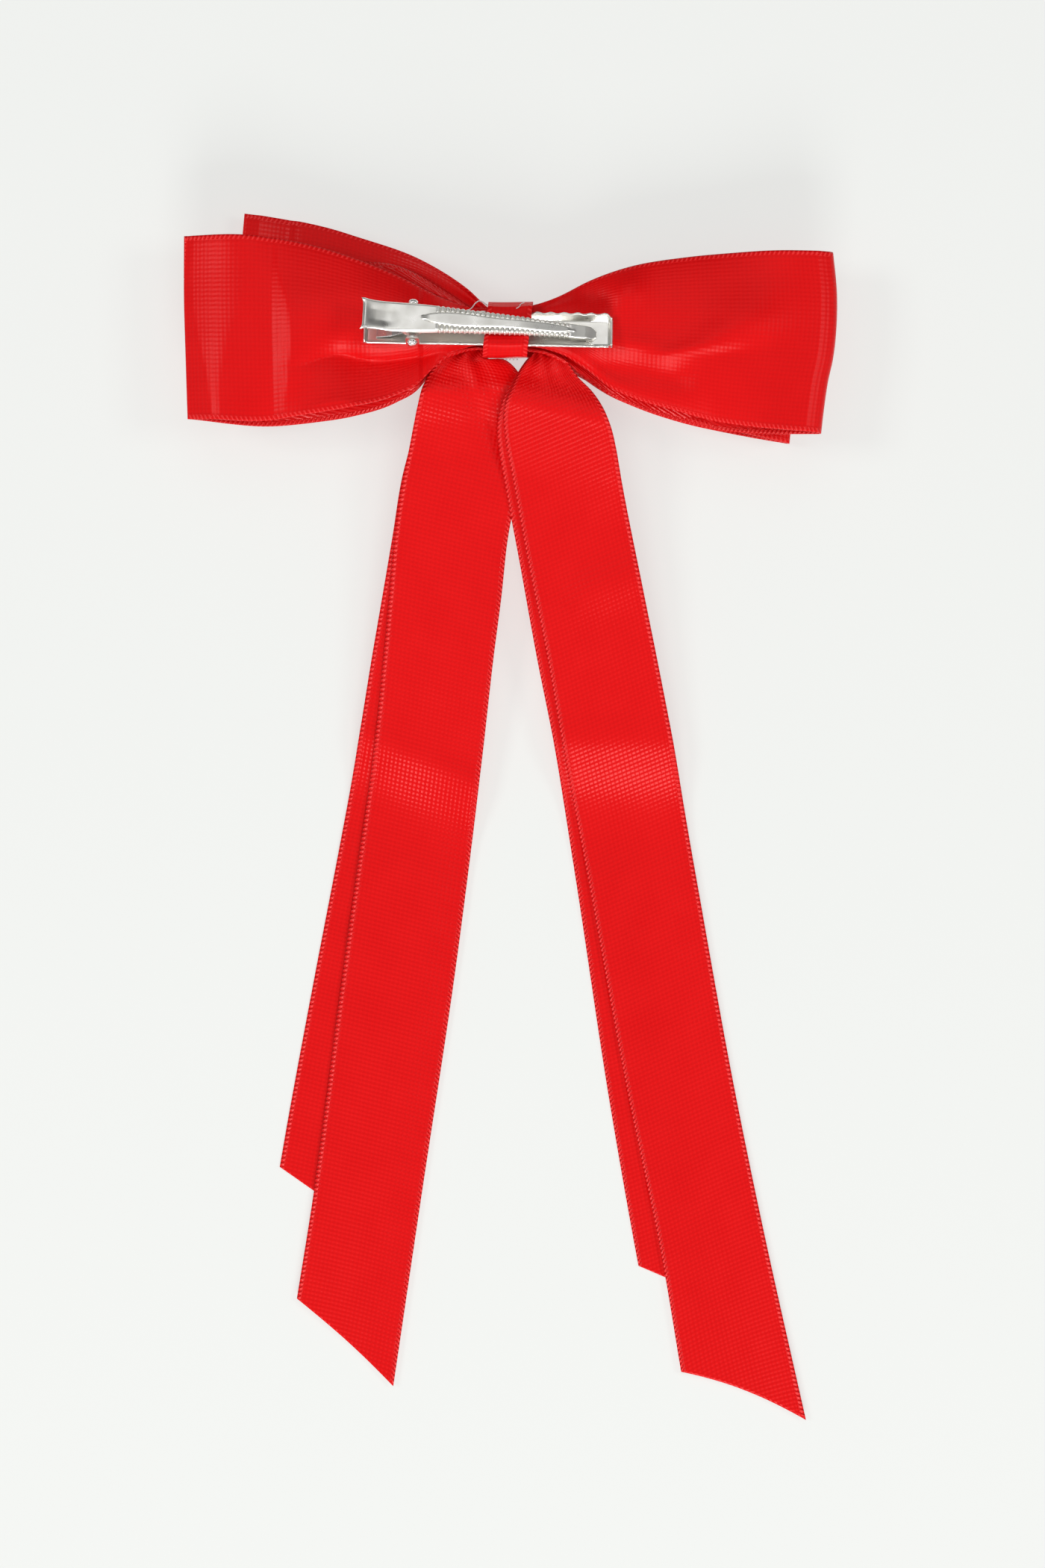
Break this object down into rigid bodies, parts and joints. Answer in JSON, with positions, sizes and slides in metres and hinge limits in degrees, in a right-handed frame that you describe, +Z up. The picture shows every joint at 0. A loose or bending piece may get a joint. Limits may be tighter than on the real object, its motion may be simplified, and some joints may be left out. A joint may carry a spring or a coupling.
{
  "type": "hair bow",
  "caption": "Layered satin hair bow with long slant-cut tails, gathered by a narrow wrap that also holds a sprung alligator clip.",
  "frame": {"origin": "under the middle of the whole bow, on the surface it lies on, face down", "axes": "+Z up out of the back of the bow, towards the clip; +Y from the tail ends to the knot; +X along the loops, towards the clip's tip"},
  "size_m": [0.1444, 0.2738, 0.0304],
  "materials": {
    "red_satin": "satin face, glossy fine twill",
    "red_satin_reverse": "satin reverse, softer sheen",
    "red_satin_narrow": "narrow satin ribbon",
    "thread": "fine translucent thread",
    "glue": "set translucent glue",
    "nickel_steel": "nickel plated pressed sheet",
    "pin_steel": "bright plated rivet",
    "spring_steel": "spring strip"
  },
  "bodies": {
    "bow": {"small_bow_ribbon": "red_satin", "large_bow_ribbon": "red_satin", "binding_thread": "thread", "centre_wrap": "red_satin_narrow", "glue_pad": "glue", "clip_base": "nickel_steel", "clip_spring": "spring_steel", "hinge_pin": "pin_steel"},
    "prong": {"clip_prong": "nickel_steel"},
    "left_tails": {"tail_left_lower": "red_satin_reverse", "tail_left_upper": "red_satin_reverse"},
    "right_tails": {"tail_right_lower": "red_satin_reverse", "tail_right_upper": "red_satin_reverse"}
  },
  "joints": [
    {"name": "clip_open", "type": "hinge", "parent": "bow", "child": "prong", "pos_m": [-0.02138, 0.10994, 0.02611], "axis": [-0.0414, -0.9694, 0.2418], "range_deg": [0, 26], "stiffness_Nm_per_rad": 0.02, "deforming": ["clip_spring"]},
    {"name": "left_tails_swing", "type": "hinge", "parent": "bow", "child": "left_tails", "pos_m": [-0.006, 0.10499, 0.01475], "axis": [0, 0, 1], "range_deg": [-12, 3]},
    {"name": "right_tails_swing", "type": "hinge", "parent": "bow", "child": "right_tails", "pos_m": [0.006, 0.10499, 0.01475], "axis": [0, 0, 1], "range_deg": [-3, 10]}
  ]
}
